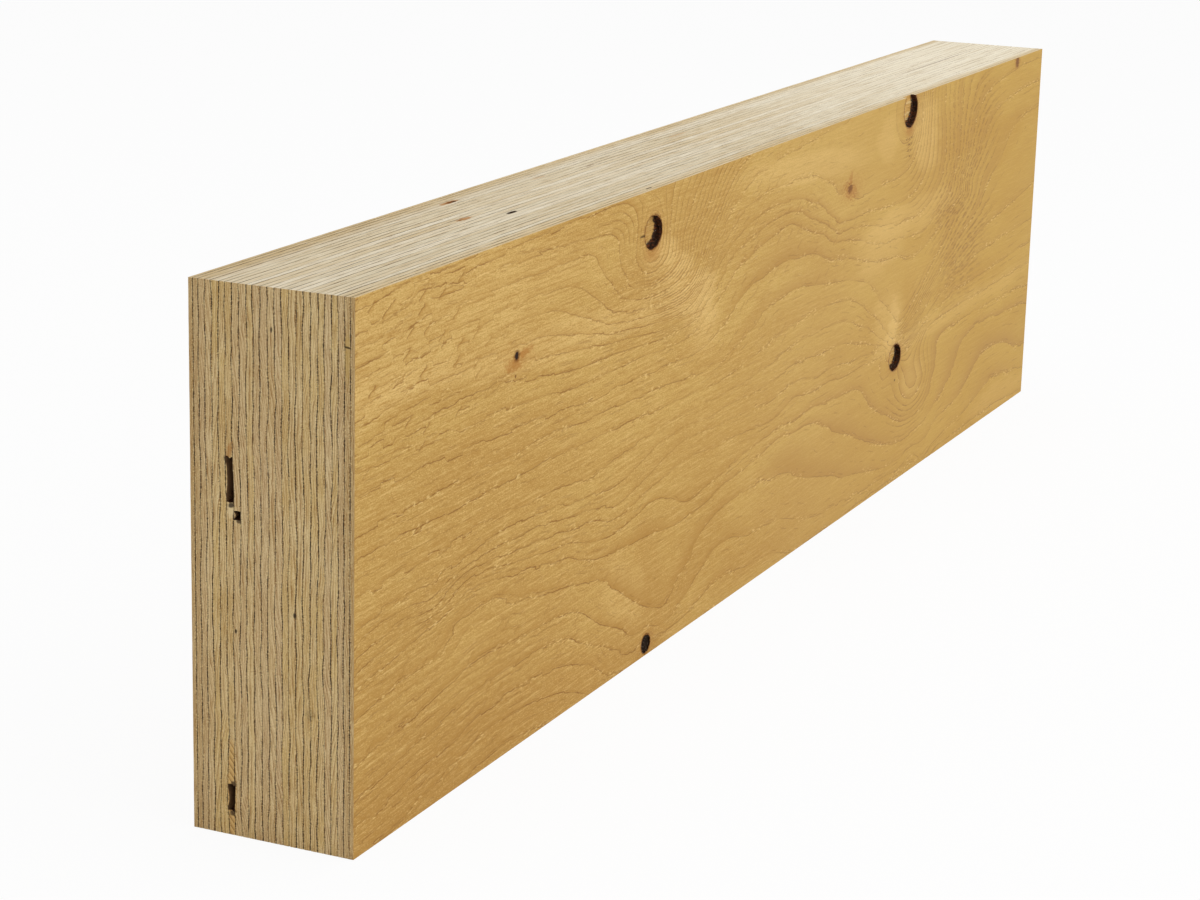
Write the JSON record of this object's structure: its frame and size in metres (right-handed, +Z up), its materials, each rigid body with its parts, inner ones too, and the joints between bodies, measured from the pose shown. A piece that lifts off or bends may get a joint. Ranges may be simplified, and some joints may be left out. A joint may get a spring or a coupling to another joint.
{
  "type": "laminated veneer lumber beam",
  "caption": "Rectangular laminated veneer lumber beam: thin softwood veneers glued face to face with parallel grain, sawn square, with open knot holes in one face.",
  "frame": {"origin": "middle of the bottom edge face, on the floor the beam stands on", "axes": "+X along the grain and the length, from the end with the open voids to the far end; -Y out of the front face, which has the knot holes; +Z up across the depth of the section"},
  "size_m": [0.916, 0.075, 0.231],
  "materials": {
    "face_veneer": "satin",
    "core_veneer": "matte"
  },
  "bodies": {
    "root": {"front_veneer": "face_veneer", "core_veneer_02": "core_veneer", "core_veneer_03": "core_veneer", "core_veneer_04": "core_veneer", "core_veneer_05": "core_veneer", "core_veneer_06": "core_veneer", "core_veneer_07": "core_veneer", "core_veneer_08": "core_veneer", "core_veneer_09": "core_veneer", "core_veneer_10": "core_veneer", "core_veneer_11": "core_veneer", "core_veneer_12": "core_veneer", "core_veneer_13": "core_veneer", "core_veneer_14": "core_veneer", "core_veneer_15": "core_veneer", "core_veneer_16": "core_veneer", "core_veneer_17": "core_veneer", "core_veneer_18": "core_veneer", "core_veneer_19": "core_veneer", "core_veneer_20": "core_veneer", "core_veneer_21": "core_veneer", "core_veneer_22": "core_veneer", "core_veneer_23": "core_veneer", "core_veneer_24": "core_veneer", "back_veneer": "face_veneer"}
  },
  "joints": []
}
